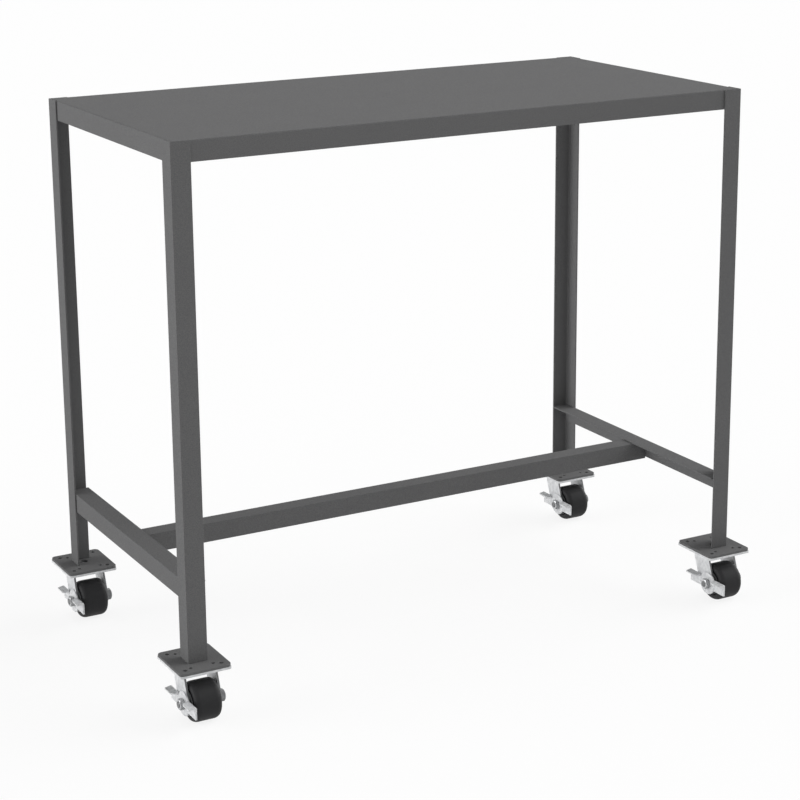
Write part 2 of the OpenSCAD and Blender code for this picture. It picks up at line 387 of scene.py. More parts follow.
def choose(obj: Object, kind: Kind, test: Test) -> None:
    """Enters edit mode and selects edges or faces.

    Args:
        obj: The object to work on.
        kind: Whether edges or faces are selected.
        test: Says which ones.
    """
    use(obj)
    bpy.ops.object.mode_set(mode="EDIT")
    bpy.ops.mesh.select_mode(type=kind.value)
    bpy.ops.mesh.select_all(action="DESELECT")
    mesh = bmesh.from_edit_mesh(obj.data)
    if kind is Kind.EDGES:
        chosen = [edge for edge in mesh.edges if test(*(end.co / MM for end in edge.verts))]
    else:
        chosen = [face for face in mesh.faces if test(face.calc_center_median() / MM, face.normal)]
    for part in chosen:
        part.select_set(True)
    bmesh.update_edit_mesh(obj.data)


def round_edges(obj: Object, radius: float, steps: int, test: Test) -> None:
    """Rounds chosen edges to a radius.

    Args:
        obj: The object to work on.
        radius: The radius.
        steps: The number of straight steps in the round.
        test: Says which edges.
    """
    choose(obj, Kind.EDGES, test)
    bpy.ops.mesh.bevel(offset=radius * MM, segments=steps, affect="EDGES")
    bpy.ops.object.mode_set(mode="OBJECT")


def bend(
    obj: Object, test: Test, steps: int, turn: float, pivot: Sequence[float], run: Sequence[float]
) -> None:
    """Bends the sheet on from chosen end faces and draws it out straight.

    Args:
        obj: The sheet.
        test: Says which faces.
        steps: The number of straight steps in the bend.
        turn: The bend's angle about Y in radians.
        pivot: A point on the bend's axis.
        run: The straight stretch after the bend, in metres.
    """
    choose(obj, Kind.FACES, test)
    bpy.ops.mesh.spin(steps=steps, angle=turn, center=Vector(pivot) * MM, axis=(0, 1, 0))
    pull(run)
    bpy.ops.object.mode_set(mode="OBJECT")


def soften(obj: Object, radius: float, steps: int = 2) -> Object:
    """Takes the sharpness off all hard edges and shades the rest smooth.

    Args:
        obj: The object to finish.
        radius: The radius of the softened edges.
        steps: The number of straight steps in the round.

    Returns:
        The same object.
    """
    use(obj)
    bevel = obj.modifiers.new("soften", "BEVEL")
    bevel.width = radius * MM
    bevel.segments = steps
    bevel.limit_method = "ANGLE"
    bevel.angle_limit = math.radians(HARD_TURN)
    bevel.miter_outer = "MITER_ARC"
    bpy.ops.object.modifier_apply(modifier=bevel.name)
    close_up(obj)
    bpy.ops.object.shade_smooth_by_angle(angle=math.radians(SHARP_TURN))
    weights = obj.modifiers.new("flats stay flat", "WEIGHTED_NORMAL")
    weights.keep_sharp = True
    bpy.ops.object.modifier_apply(modifier=weights.name)
    return obj


def dress(obj: Object, material: Material, second: Material, test: Test) -> Object:
    """Gives a piece its finish, and chosen faces a second one.

    Args:
        obj: The piece.
        material: The finish of most of it.
        second: The finish of the chosen faces.
        test: Says which faces.

    Returns:
        The same piece.
    """
    for finish in (material, second):
        obj.data.materials.append(finish)
    choose(obj, Kind.FACES, test)
    obj.active_material_index = 1
    bpy.ops.object.material_slot_assign()
    bpy.ops.object.mode_set(mode="OBJECT")
    return obj


def hand_over(obj: Object, body: str, material: Material, nodes: Sequence[str]) -> None:
    """Dresses a finished piece and gives it to the body that carries it.

    Args:
        obj: The piece.
        body: The body that it moves with.
        material: Its finish.
        nodes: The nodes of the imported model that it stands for.
    """
    if not obj.data.materials:
        obj.data.materials.append(material)
    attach(obj, body)
    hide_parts(*nodes)
    log.info("%s: %d faces, on %s", obj.name, len(obj.data.polygons), body)


# Finishes


def linear(code: str) -> tuple[float, float, float, float]:
    """Turns an sRGB hex colour into a linear one.

    Args:
        code: The colour, such as 6a6a6c.

    Returns:
        Its red, green, blue and alpha.
    """
    parts = [int(code[i : i + 2], 16) / 255 for i in (0, 2, 4)]
    red, green, blue = (
        p / 12.92 if p <= 0.04045 else ((p + 0.055) / 1.055) ** 2.4 for p in parts
    )
    return red, green, blue, 1.0


def add_node(
    tree: NodeTree, kind: str, settings: dict | None = None, inputs: dict | None = None
) -> Node:
    """Adds a node with its settings, values and links.

    Args:
        tree: The node tree that it goes into.
        kind: The node's type name.
        settings: Its settings by name.
        inputs: Values or output sockets to link, by the input's name or number.

    Returns:
        The new node.
    """
    node = tree.nodes.new(kind)
    for key, value in (settings or {}).items():
        setattr(node, key, value)
    for key, value in (inputs or {}).items():
        if isinstance(value, NodeSocket):
            tree.links.new(value, node.inputs[key])
        else:
            node.inputs[key].default_value = value
    return node


def new_material(name: str) -> tuple[Material, NodeTree]:
    """Makes an empty node material.

    Args:
        name: Its name.

    Returns:
        The material and its node tree.
    """
    material = bpy.data.materials.new(name)
    material.use_nodes = True
    material.node_tree.nodes.clear()
    return material, material.node_tree


def grains(width: float) -> float:
    """Gives the scale, on coordinates in metres, of a pattern whose grains are that wide."""
    return 1 / (width * MM)


@dataclass(frozen=True)
class Finish:
    """What all finishes share: a wide pattern and a fine one, which steer colour, gloss and relief."""

    name: str
    light: str
    dark: str
    # Width and detail of the wide pattern, and of the fine one
    cloud: Pair
    grain: Pair
    # Values of a pattern between which the colour goes from dark to light
    colour_range: Pair
    roughness: Pair
    relief_mm: float
    relief_strength: float
    metallic: float = 0.0
    specular: float = 0.5
    # Values of a pattern between which the roughness goes from its first to its second value
    gloss_range: Pair = (0.3, 0.7)

    def build(self) -> Material:
        """Builds the material.

        Returns:
            The material.
        """
        material, tree = new_material(self.name)
        place = add_node(tree, "ShaderNodeTexCoord").outputs["Object"]
        cloud, grain = (
            add_node(
                tree,
                "ShaderNodeTexNoise",
                inputs={"Vector": place, "Scale": grains(width), "Detail": detail},
            ).outputs["Fac"]
            for width, detail in (self.cloud, self.grain)
        )
        tint, sheen = self.steer(tree, cloud, grain)
        factor, gloss = (
            add_node(
                tree,
                "ShaderNodeMapRange",
                inputs={
                    "Value": pattern,
                    "From Min": source[0],
                    "From Max": source[1],
                    "To Min": target[0],
                    "To Max": target[1],
                },
            ).outputs["Result"]
            for pattern, source, target in (
                (tint, self.colour_range, (0.0, 1.0)),
                (sheen, self.gloss_range, self.roughness),
            )
        )
        colour = add_node(
            tree,
            "ShaderNodeMix",
            {"data_type": "RGBA"},
            {"Factor": factor, "A": linear(self.dark), "B": linear(self.light)},
        )
        relief = add_node(
            tree,
            "ShaderNodeBump",
            inputs={
                "Strength": self.relief_strength,
                "Distance": self.relief_mm * MM,
                "Height": grain,
            },
        )
        shader = add_node(
            tree,
            "ShaderNodeBsdfPrincipled",
            inputs={
                "Base Color": colour.outputs["Result"],
                "Metallic": self.metallic,
                "Roughness": gloss,
                "Specular IOR Level": self.specular,
                "Normal": relief.outputs["Normal"],
            },
        )
        add_node(tree, "ShaderNodeOutputMaterial", inputs={"Surface": shader.outputs["BSDF"]})
        return material

    def steer(
        self, tree: NodeTree, cloud: NodeSocket, grain: NodeSocket
    ) -> tuple[NodeSocket, NodeSocket]:
        """Gives what steers the colour and the gloss: the wide pattern, for both."""
        return cloud, cloud


@dataclass(frozen=True)
class PowderCoat(Finish):
    """Textured polyester powder coat, sprayed and baked on steel: dull, even, with a fine sandy grain.

    The real grain is about 0.4 mm, too fine to show here, so it is drawn coarser.
    """

    name: str = "textured_powder_coat"
    light: str = "757575"
    dark: str = "5f5f60"
    cloud: Pair = (90.0, 2.0)
    grain: Pair = (1.7, 3.0)
    colour_range: Pair = (0.28, 0.78)
    roughness: Pair = (0.78, 0.9)
    relief_mm: float = 0.05
    relief_strength: float = 0.35
    specular: float = 0.03
    cloud_share: float = 0.06

    def steer(
        self, tree: NodeTree, cloud: NodeSocket, grain: NodeSocket
    ) -> tuple[NodeSocket, NodeSocket]:
        """Gives what steers the colour and the gloss: the grain with a little cloud, and the grain."""
        sum_of = {0: cloud, 1: self.cloud_share, 2: grain}
        return add_node(tree, "ShaderNodeMath", {"operation": "MULTIPLY_ADD"}, sum_of).outputs[0], grain


@dataclass(frozen=True)
class ZincPlate(Finish):
    """Bright zinc electroplate on pressed steel: pale, silky, with a faint bluish cloud and grain.

    The real grain is a few tenths of a millimetre, so it is drawn coarser.
    """

    name: str = "bright_zinc_plate"
    light: str = "dedfe0"
    dark: str = "c6c7c9"
    cloud: Pair = (8.0, 4.0)
    grain: Pair = (1.6, 2.0)
    colour_range: Pair = (0.35, 0.65)
    roughness: Pair = (0.36, 0.5)
    relief_mm: float = 0.03
    relief_strength: float = 0.2
    metallic: float = 0.25


@dataclass(frozen=True)
class MouldedBlack(Finish):
    """Black moulded polyolefin of a solid wheel: nearly smooth, with a soft, low sheen and flow marks.

    The real grain is a few tenths of a millimetre, so it is drawn coarser.
    """

    name: str = "moulded_black"
    light: str = "333334"
    dark: str = "2d2d2e"
    cloud: Pair = (9.0, 3.0)
    grain: Pair = (0.9, 2.0)
    colour_range: Pair = (0.0, 1.0)
    roughness: Pair = (0.5, 0.6)
    relief_mm: float = 0.02
    relief_strength: float = 0.25
    specular: float = 0.12


# Frame of the bench


@dataclass
class Bench:
    """The welded frame: top, legs, stringers and foot pads."""

    coat: Material
    sheet_t: float = 2.7
    sheet_bend_r: float = 2.5
    bend_steps: int = 4
    pan_corner_r: float = 4.0
    pan_corner_steps: int = 5
    angle_t: float = 3.2
    root_r: float = 3.0
    root_steps: int = 6
    toe_r: float = 1.2
    toe_steps: int = 4
    pad_corner_r: float = 9.5
    edge_r: float = 0.6
    slot: str = "grey_powder_coat"
    body: str = "frame"

    def build(self) -> None:
        """Builds every piece of the frame."""
        self.top()
        for corner in Corner:
            leg = f"leg_{corner.label}"
            self.angle(f"angle_{leg}", leg, Plane.XY, corner.sides)
            self.foot_pad(corner)
        for side, name in ((-1, "left"), (1, "right")):
            self.angle(f"angle_stringer_{name}", f"end_stringer_{name}", Plane.XZ, (side, 1))
        self.angle("angle_stringer_centre", "centre_stringer", Plane.YZ, (-1, 1))

    def finish(self, obj: Object, node: str) -> None:
        """Softens a piece's edges and hands it over for its node."""
        soften(obj, self.edge_r)
        hand_over(obj, self.body, self.coat, [node])

    def top(self) -> None:
        """Folds the sheet steel top: a pan, open below, with rounded bends."""
        low, high = (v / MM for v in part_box("deck_pan"))
        pan = block("sheet_top", low, high)
        rim_z = high.z - self.edge_r
        round_edges(pan, self.pan_corner_r, self.pan_corner_steps, upright)
        round_edges(pan, self.sheet_bend_r, self.bend_steps, lambda a, b: min(a.z, b.z) > rim_z)
        choose(pan, Kind.FACES, lambda centre, normal: normal.z < -FACING)
        bpy.ops.mesh.inset(thickness=self.sheet_t * MM)
        rise = (high.z - low.z - self.sheet_t) * MM
        pull((0, 0, rise))
        bpy.ops.object.mode_set(mode="OBJECT")
        self.finish(close_up(pan), "deck_pan")

    def section(self, width: float) -> list[Point]:
        """Gives the section of an angle with its heel at the origin and its flanges along +.

        Args:
            width: Width of both flanges.

        Returns:
            The section's corners.
        """
        t, root, toe, steps = self.angle_t, self.root_r, self.toe_r, self.toe_steps
        corners = [(0.0, 0.0), (width, 0.0)]
        corners += arc((width - toe, t - toe), toe, 0, 90, steps)
        corners += arc((t + root, t + root), root, 270, 180, self.root_steps)
        corners += arc((t - toe, width - toe), toe, 0, 90, steps)
        return corners + [(0.0, width)]

    def angle(self, name: str, node: str, plane: Plane, heel: tuple[int, int]) -> None:
        """Cuts a length of angle iron that fills its node's box.

        Args:
            name: The piece's name.
            node: The node that it stands for.
            plane: The plane of its section.
            heel: The sides of the box that its heel lies on, -1 or 1 for each direction of the plane.
        """
        low, high = (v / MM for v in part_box(node))
        across, up, along = plane.value
        side_x, side_y = heel
        heel_x = (low if side_x < 0 else high)[across]
        heel_y = (low if side_y < 0 else high)[up]
        section = self.section(high[across] - low[across])
        outline = [(heel_x - side_x * x, heel_y - side_y * y) for x, y in section]
        length = high[along] - low[along]
        self.finish(cut_out(name, outline, plane, low[along], length), node)

    def foot_pad(self, corner: Corner) -> None:
        """Cuts one foot pad with its bolt holes.

        Args:
            corner: The corner of the bench that it is under.
        """
        node = f"foot_pad_{corner.label}"
        low, high = (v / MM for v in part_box(node))
        holes = PlateHoles()
        name = f"steel_pad_{corner.label}"
        self.finish(holes.plate(name, low, high, self.pad_corner_r, holes.eye_d), node)


@dataclass(frozen=True)
class PlateHoles:
    """The hole pattern that foot pads and caster plates share."""

    # Pitch across and along the plate, and diameter
    outer: tuple[float, float, float] = (71.4, 84.1, 8.7)
    inner: tuple[float, float, float] = (44.4, 73.0, 6.8)
    eye_d: float = 16.0
    hole_sides: int = 32

    def plate(self, name: str, low: Vector, high: Vector, corner_r: float, middle_d: float) -> Object:
        """Cuts a plate with round corners, eight bolt holes and a middle hole.

        Args:
            name: The object's name.
            low: The plate's lowest corner.
            high: The plate's highest corner.
            corner_r: Radius of the plate's corners.
            middle_d: Diameter of the middle hole.

        Returns:
            The plate.
        """
        obj = block(name, low, high)
        round_edges(obj, corner_r, ROUND_STEPS, upright)
        middle = (low + high) / 2
        through = 3 * (high.z - low.z)
        drills = [round_bar("drill", middle, middle_d / 2, through)]
        for across, along, diameter in (self.outer, self.inner):
            for x in (-across / 2, across / 2):
                for y in (-along / 2, along / 2):
                    spot = middle + Vector((x, y, 0))
                    drill = round_bar("drill", spot, diameter / 2, through, sides=self.hole_sides)
                    drills.append(drill)
        return work(obj, gather(drills))


# Casters


@dataclass
class Caster:
    """One swivel caster with its brake, modelled about its swivel axis and set down four times."""

    zinc: Material
    bright: Material
    black: Material
    # Darker grey on the fork's sheared edges and the axle bolt: painted shade
    painted_shade_grey_steel: Material
    # Darker zinc on the axle nut's flats and the rear pedal's top: painted shade
    painted_shade_zinc: Material
    # Dark steel of the brake disc: painted shade between the fork and the wheel
    painted_shade_disc_steel: Material
    holes: PlateHoles = field(default_factory=PlateHoles)
    edge_r: float = 0.5
    slip: float = 0.3
    fit: float = 0.05
    # Heights
    axle_z: float = 38.1
    crown_z: float = 87.9
    fork_t: float = 4.0
    race_gap: float = 2.6
    race_h: float = 3.4
    plate_t: float = 4.5
    # Swivel
    plate_corner_r: float = 5.0
    ball_d: float = 6.0
    ball_segments: int = 16
    ball_rings: int = 10
    ball_fit: float = 0.2
    balls: int = 18
    ring_r: float = 22.0
    race_w: float = 12.0
    race_lip_r: float = 2.0
    race_lip_steps: int = 4
    race_steps: int = 24
    king_d: float = 12.7
    king_head_d: float = 19.0
    king_head_h: float = 3.0
    king_nut_af: float = 19.0
    king_nut_h: float = 7.0
    thread_end: float = 1.5
    # Fork
    trail: float = 30.0
    fork_in: float = 29.3
    bend_r: float = 8.0
    crown_front: float = 28.5
    crown_back: float = 20.0
    crown_r: float = 31.0
    crown_sides: int = 96
    fork_end_r: float = 16.5
    fork_end_steps: int = 20
    fork_turn_h: float = 13.0
    # Axle
    axle_d: float = 12.7
    chamfer: float = 1.2
    sleeve_d: float = 19.0
    flange_d: float = 26.0
    flange_t: float = 2.0
    flange_chamfer_h: float = 0.8
    head_af: float = 20.6
    head_h: float = 9.0
    head_face_share: float = 0.8
    nut_af: float = 19.0
    nut_h: float = 9.0
    # Wheel
    wheel_r: float = 38.1
    wheel_half: float = 26.5
    shoulder: Pair = (8.0, 11.0)
    shoulder_steps: int = 10
    hub_r: float = 17.0
    dish_h: float = 5.0
    dish_draft: float = 1.0
    rim_w: float = 3.0
    hub_gap: float = 0.3
    # Brake
    lever_t: float = 3.2
    lever_disc_r: float = 23.5
    lever_disc_steps: tuple[int, int] = (32, 28)
    lever_reach: float = 56.0
    blade_h: float = 25.5
    blade_top: float = 14.6
    pedal_w: float = 13.4
    pedal_start: float = 24.0
    pedal_droop: float = 11.0
    pedal_bend_r: float = 1.5
    pedal_bend_steps: int = 6
    pedal_r: float = 6.5
    pedal_tip_r: float = 1.5
    notch_r: float = 1.8
    notch_turn: float = -15.0
    notch_steps: int = 6
    pad_disc_r: float = 25.0
    pad_disc_t: float = 2.2

    @property
    def crown_top(self) -> float:
        """Height of the crown's upper face."""
        return self.crown_z + self.fork_t

    @property
    def ball_z(self) -> float:
        """Height of the balls' centres."""
        return self.crown_top + self.race_gap / 2

    @property
    def plate_z(self) -> float:
        """Height of the top plate's lower face."""
        return self.crown_top + self.race_gap + self.race_h

    @property
    def plate_top(self) -> float:
        """Height of the top plate's upper face."""
        return self.plate_z + self.plate_t

    @property
    def fork_out(self) -> float:
        """Half width over the fork."""
        return self.fork_in + self.fork_t

    @property
    def lever_out(self) -> float:
        """Distance from the middle to the lever's outer face."""
        return self.fork_out + self.slip + self.lever_t

    @property
    def nut_out(self) -> float:
        """Distance from the middle to the axle nut's outer face."""
        return self.lever_out + self.slip + self.nut_h

    @property
    def axle(self) -> Vector:
        """The middle of the axle."""
        return Vector((0, -self.trail, self.axle_z))

    def build(self) -> None:
        """Models each piece once and sets it down at the four corners."""
        for name, node, body, model, material in (
            ("zinc_top_plate", "caster_plate", "frame", self.top_plate, self.zinc),
            ("swivel_pin", "kingpin", "frame", self.kingpin, self.zinc),
            ("swivel_pin_nut", "kingpin_nut", "frame", self.kingpin_nut, self.bright),
            ("race_balls", "swivel_balls", "swivel", self.ball_ring, self.bright),
            ("pressed_fork", "fork", "swivel", self.fork, self.zinc),
            # The axle bolt is painted darker grey: painted shade
            ("flanged_bolt", "axle_bolt", "swivel", self.bolt, self.painted_shade_grey_steel),
            ("locking_nut", "axle_nut", "swivel", self.nut, self.bright),
            ("turned_sleeve", "axle_sleeve", "swivel", self.sleeve, self.zinc),
            # The brake disc is painted dark: painted shade between the fork and the wheel
            ("brake_disc", "friction_disc", "swivel", self.brake_disc, self.painted_shade_disc_steel),
            ("moulded_wheel", "wheel", "rolling", self.wheel, self.black),
            ("stamped_lever", "brake_lever", "brake", self.lever, self.zinc),
        ):
            self.set_out(name, node, body, model(), material)

    def set_out(self, name: str, node: str, body: str, model: Object, material: Material) -> None:
        """Sets a copy of a finished model down at each corner and deletes the model.

        Args:
            name: The name that each copy starts with.
            node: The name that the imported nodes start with.
            body: "frame", or the name that the moving bodies start with.
            model: The finished model.
            material: Its finish.
        """
        for corner in Corner:
            low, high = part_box(f"foot_pad_{corner.label}")
            middle = (low + high) / 2
            copy = model.copy()
            copy.data = model.data.copy()
            copy.name = copy.data.name = f"{name}_{corner.label}"
            bpy.context.scene.collection.objects.link(copy)
            copy.data.transform(Matrix.Translation((middle.x, middle.y, 0)))
            carrier = body if body == "frame" else f"{body}_{corner.label}"
            hand_over(copy, carrier, material, [f"{node}_{corner.label}"])
        bpy.data.objects.remove(model)

    def top_plate(self) -> Object:
        """Stamps the top plate with the upper ball race under it.

        Returns:
            The plate.
        """
        low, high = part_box("foot_pad_front_left")
        half = (high - low) / MM / 2
        bottom = Vector((-half.x, -half.y, self.plate_z))
        top = Vector((half.x, half.y, self.plate_top))
        eye_d = self.king_d + 2 * self.fit
        plate = self.holes.plate("plate", bottom, top, self.plate_corner_r, eye_d)
        inner, outer = self.ring_r - self.race_w / 2, self.ring_r + self.race_w / 2
        root, face, lip = self.plate_z + PAST, self.plate_z - self.race_h, self.race_lip_r
        turn = arc((outer - lip, face + lip), lip, 270, 360, self.race_lip_steps)
        race = [(root, inner), (face, inner), *[(z, r) for r, z in turn], (root, outer)]
        work(plate, lathe("race", race, Axis.Z), Join.FUSE)
        work(plate, self.race_tube())
        work(plate, self.countersink(2 * self.fit, self.plate_t + self.race_h, PAST))
        return soften(plate, self.edge_r)

    def race_tube(self) -> Object:
        """Makes the ring-shaped cutter of the ball races.

        Returns:
            The cutter.
        """
        tube_r = self.ball_d / 2 + self.ball_fit
        last = 360 - 360 / self.race_steps
        circle = arc((self.ring_r, self.ball_z), tube_r, 0, last, self.race_steps - 1)
        return lathe("race_tube", [(z, r) for r, z in circle], Axis.Z)

    def countersink(self, room: float, length: float, past: float = 0) -> Object:
        """Makes the swivel pin's countersunk shape.

        Args:
            room: How much wider than the pin it is.
            length: How far it reaches down from the plate's top.
            past: How far it stands above the plate's top, as a cutter has to.

        Returns:
            The shape.
        """
        top, bottom = self.plate_top, self.plate_top - length
        shank_r, head_r = (self.king_d + room) / 2, (self.king_head_d + room) / 2
        section = [
            (bottom, 0),
            (bottom, shank_r),
            (top - self.king_head_h, shank_r),
            (top, head_r),
            (top + past, head_r),
            (top + past, 0),
        ]
        return lathe("pin", section, Axis.Z)

    def kingpin(self) -> Object:
        """Turns the swivel pin."""
        below = self.crown_z - self.slip - self.king_nut_h - self.thread_end
        return soften(self.countersink(0, self.plate_top - below), self.edge_r)

    def bore(
        self, obj: Object, place: Sequence[float], pin_d: float, length: float, axis: Axis = Axis.Z
    ) -> Object:
        """Bores a piece for a pin, with room for it to pass."""
        return work(obj, round_bar("bore", place, pin_d / 2 + self.fit, length, axis))

    def hexagon(
        self, name: str, across: float, height: float, middle: Vector, axis: Axis, face_share: float = 0.97
    ) -> Object:
        """Turns a hexagon bar with both ends chamfered at 30 degrees.

        Args:
            name: The object's name.
            across: Width across the flats.
            height: Height along the axis.
            middle: The hexagon's middle.
            axis: The axis that it stands on.
            face_share: Width of the round end faces as a share of the width across the flats.

        Returns:
            The hexagon.
        """
        # Half the turn from corner to corner, and the chamfer's angle
        turn = math.radians(30)
        corner_r = across / 2 / math.cos(turn)
        prism = round_bar(name, middle, corner_r, height, axis, sides=6)
        flat_r, cone_r = across / 2 * face_share, corner_r + PAST
        cone_h = (cone_r - flat_r) * math.tan(turn)
        half = height / 2
        section = [
            (-half, 0),
            (-half, flat_r),
            (cone_h - half, cone_r),
            (half - cone_h, cone_r),
            (half, flat_r),
            (half, 0),
        ]
        return work(prism, lathe("barrel", section, axis, middle), Join.KEEP_COMMON)

    def kingpin_nut(self) -> Object:
        """Turns the nut under the crown.

        Returns:
            The nut.
        """
        middle = Vector((0, 0, self.crown_z - self.slip - self.king_nut_h / 2))
        nut = self.hexagon("nut", self.king_nut_af, self.king_nut_h, middle, Axis.Z)
        self.bore(nut, middle, self.king_d, 2 * self.king_nut_h)
        return soften(nut, self.edge_r / 2)

    def ball_ring(self) -> Object:
        """Sets out the ring of balls.

        Returns:
            The ring, as one object of separate balls.
        """
        balls = []
        for i in range(self.balls):
            turn = math.tau * i / self.balls
            spot = Vector((self.ring_r * math.cos(turn), self.ring_r * math.sin(turn), self.ball_z))
            nothing_selected()
            bpy.ops.mesh.primitive_uv_sphere_add(
                segments=self.ball_segments,
                ring_count=self.ball_rings,
                radius=self.ball_d / 2 * MM,
                location=spot * MM,
            )
            balls.append(start("ball"))
        ring = gather(balls)
        bpy.ops.object.shade_smooth()
        return ring

    def fork(self) -> Object:
        """Presses the fork: a strip bent down at both sides and trimmed, with a round crown.

        Returns:
            The fork, with its sheared edges painted darker as painted shade.
        """
        flat, bend_z = self.fork_out - self.bend_r, self.crown_top - self.bend_r
        front, back = -self.trail - self.fork_end_r - PAST, self.crown_r + PAST
        strip = block("fork", (-flat, front, self.crown_z), (flat, back, self.crown_top))
        drop = (self.axle_z - self.fork_end_r - PAST - bend_z) * MM
        for side in (-1, 1):
            bend(
                strip,
                lambda centre, normal: normal.x * side > FACING and centre.x * side > flat - PAST,
                ROUND_STEPS,
                -side * math.pi / 2,
                (side * flat, 0, bend_z),
                (0, 0, drop),
            )
        close_up(strip)
        reach = self.fork_out + PAST
        outline = cut_out("outline", self.fork_side(), Plane.YZ, -reach, 2 * reach)
        middle = Vector((0, 0, self.crown_z + self.fork_t / 2))
        crown = round_bar("crown", middle, self.crown_r, 2 * self.fork_t, sides=self.crown_sides)
        clip = Vector((flat - self.edge_r, self.crown_r + PAST, 2 * self.fork_t))
        work(crown, block("clip", middle - clip, middle + clip), Join.KEEP_COMMON)
        work(strip, work(outline, crown, Join.FUSE), Join.KEEP_COMMON)
        work(strip, self.race_tube())
        self.bore(strip, (0, 0, self.crown_z), self.king_d, 4 * self.fork_t)
        self.bore(strip, self.axle, self.axle_d, 3 * self.fork_out, Axis.X)
        # The fork's sheared edges are painted darker grey: painted shade
        return dress(soften(strip, self.edge_r), self.zinc, self.painted_shade_grey_steel, self.is_fork_edge)

    def is_fork_edge(self, centre: Vector, normal: Vector) -> bool:
        """Says whether a face of the fork is sheared edge, and not the sheet's own surface.

        Args:
            centre: The face's centre.
            normal: Its normal.

        Returns:
            Whether it is sheared edge.
        """
        if centre.z < self.crown_top - self.bend_r:
            return abs(normal.x) < EDGEWISE
        if abs(centre.x) < self.fork_out - self.bend_r:
            return abs(normal.z) < EDGEWISE
        return abs(normal.y) > TOWARDS

    def fork_side(self) -> list[Point]:
        """Gives the fork's side view: a sloping leg from the shoulder down to a round end.

        Returns:
            The outline's corners.
        """
        axle = Vector((-self.trail, self.axle_z))
        front = Vector((-self.crown_front, self.crown_z))
        touch, turn_front = tangent(front, axle, self.fork_end_r, -1)
        slope = (touch - front) / (touch.y - front.y)
        rear = Vector((self.crown_back, self.crown_z - self.fork_t))
        rear_turn = rear - (rear.y - self.axle_z - self.fork_turn_h) * slope
        _, turn_back = tangent(rear_turn, axle, self.fork_end_r, 1)
        turn_end = turn_front + (turn_back - turn_front) % 360
        return [
            (self.crown_back, self.crown_top + PAST),
            (-self.crown_front, self.crown_top + PAST),
            tuple(front),
            *arc(tuple(axle), self.fork_end_r, turn_front, turn_end, self.fork_end_steps),
            tuple(rear_turn),
            tuple(rear),
        ]

    def turned(self, name: str, section: Sequence[Point]) -> Object:
        """Turns a piece about the axle from a section of places along X and radii."""
        return lathe(name, section, Axis.X, self.axle)

    def tube(self, name: str, left: float, right: float, inner: float, outer: float) -> Object:
        """Turns a plain ring about the axle between two places along X, and softens it."""
        ring = self.turned(name, [(left, inner), (left, outer), (right, outer), (right, inner)])
        return soften(ring, self.edge_r)

    def bolt(self) -> Object:
        """Turns the axle bolt: shank with chamfered end, flange and hexagon head.

        Returns:
            The bolt.
        """
        tip, r, flange_r = -(self.nut_out + self.thread_end), self.axle_d / 2, self.flange_d / 2
        flange_out = self.fork_out + self.flange_t
        section = [
            (tip, 0),
            (tip, r - self.chamfer),
            (tip + self.chamfer, r),
            (self.fork_out, r),
            (self.fork_out, flange_r),
            (flange_out - self.flange_chamfer_h, flange_r),
            (flange_out, flange_r - self.chamfer),
            (flange_out, 0),
        ]
        shank = self.turned("bolt", section)
        middle = self.axle + Vector((flange_out + self.head_h / 2 - PAST, 0, 0))
        height = self.head_h + 2 * PAST
        head = self.hexagon("head", self.head_af, height, middle, Axis.X, self.head_face_share)
        return soften(work(shank, head, Join.FUSE), 2 * self.edge_r, steps=3)

    def nut(self) -> Object:
        """Turns the axle nut outside the brake lever.

        Returns:
            The nut, with its flats painted darker as painted shade.
        """
        middle = self.axle - Vector((self.nut_out - self.nut_h / 2, 0, 0))
        nut = self.hexagon("nut", self.nut_af, self.nut_h, middle, Axis.X)
        self.bore(nut, middle, self.axle_d, 2 * self.nut_h, Axis.X)
        soften(nut, self.edge_r / 2)
        # The nut's flats are painted darker: painted shade
        return dress(nut, self.bright, self.painted_shade_zinc, lambda centre, normal: abs(normal.x) < EDGEWISE)

    def sleeve(self) -> Object:
        """Turns the sleeve between the fork's legs."""
        inner, outer = self.axle_d / 2 + self.fit, self.sleeve_d / 2
        return self.tube("sleeve", -self.fork_in, self.fork_in, inner, outer)

    def brake_disc(self) -> Object:
        """Stamps the thin disc that the brake presses against the wheel."""
        left, inner = -self.fork_in, self.sleeve_d / 2 + self.fit
        return self.tube("disc", left, left + self.pad_disc_t, inner, self.pad_disc_r)

    def wheel(self) -> Object:
        """Moulds the wheel: round-shouldered tread, dished sides and a hub.

        Returns:
            The wheel.
        """
        half, radius, bore = self.wheel_half, self.wheel_r, self.sleeve_d / 2 + self.fit
        fall, reach = self.shoulder
        rim_r, draft = radius - fall - self.rim_w, self.dish_draft
        hub_right = self.fork_in - self.hub_gap
        quarter = arc((0, 0), 1, 180, 90, self.shoulder_steps)
        left_shoulder = [(reach * (1 + x) - half, radius - fall * (1 - y)) for x, y in quarter]
        right_shoulder = [(-x, r) for x, r in reversed(left_shoulder)]
        section = [
            (-half, bore),
            (-half, self.hub_r),
            (self.dish_h - half, self.hub_r + draft),
            (self.dish_h - half, rim_r - draft),
            (-half, rim_r),
            *left_shoulder,
            *right_shoulder,
            (half, rim_r),
            (half - self.dish_h, rim_r - draft),
            (half - self.dish_h, self.hub_r + draft),
            (hub_right, self.hub_r - draft),
            (hub_right, bore),
        ]
        return soften(self.turned("wheel", section), self.edge_r)

